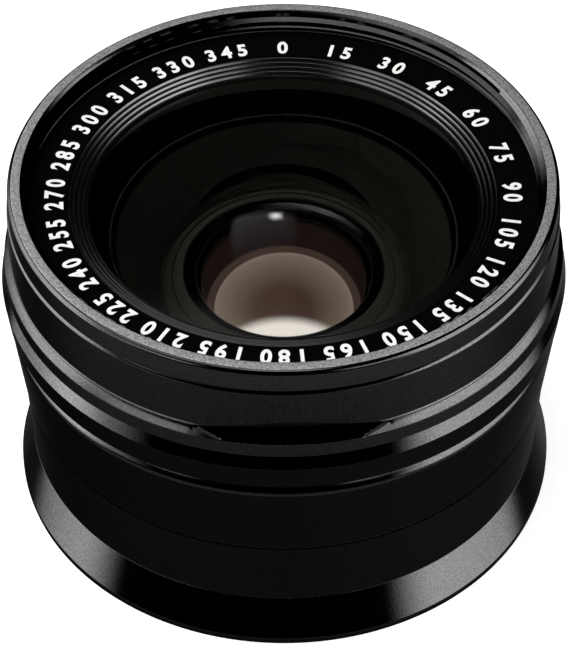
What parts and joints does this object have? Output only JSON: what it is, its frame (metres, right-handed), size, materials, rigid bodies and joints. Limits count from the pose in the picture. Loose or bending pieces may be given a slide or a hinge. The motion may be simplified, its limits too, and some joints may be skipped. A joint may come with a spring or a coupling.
{
  "type": "wide-angle conversion lens",
  "caption": "Black screw-on wide-angle conversion lens: a waisted turned barrel with a large domed front glass, a filter thread at the front and a threaded socket in its rear flange.",
  "frame": {"origin": "centre of the rear flange's flat face, on which the lens stands", "axes": "+Z along the optical axis towards the subject; the opening of the trim ring faces -Y"},
  "size_m": [0.0546, 0.0546, 0.0366],
  "materials": {
    "rim_black": "bead-blasted, black anodised",
    "barrel_black": "fine turned and blasted, satin black anodised",
    "ring_black": "turned, satin black anodised",
    "matt_black": "matt black against glare",
    "plate_black": "semi-gloss black plate with plain white filled numbers",
    "coated_glass": "polished, multi-coated",
    "inner_glass": "polished, coated",
    "seal_rubber": "matt black rubber",
    "screw_steel": "blackened",
    "shim_brass": "plain rolled sheet"
  },
  "bodies": {
    "root": {"front_rim_ring": "rim_black", "name_ring": "plate_black", "front_retaining_ring": "ring_black", "front_lens": "coated_glass", "front_lens_seal": "seal_rubber", "front_barrel": "barrel_black", "front_grub_screws": "screw_steel", "open_trim_ring": "barrel_black", "main_barrel": "barrel_black", "light_baffle": "matt_black", "cell_lock_ring": "ring_black", "cell_shim": "shim_brass", "lens_cell": "ring_black", "pair_retaining_ring": "ring_black", "pair_front_lens": "inner_glass", "pair_rear_lens": "inner_glass", "rear_lens": "inner_glass", "rear_retaining_ring": "ring_black", "waist_gasket": "seal_rubber", "rear_barrel": "barrel_black", "barrel_screws": "screw_steel", "mount_ring": "barrel_black", "mount_screws": "screw_steel", "rear_light_shield": "matt_black"}
  },
  "joints": []
}
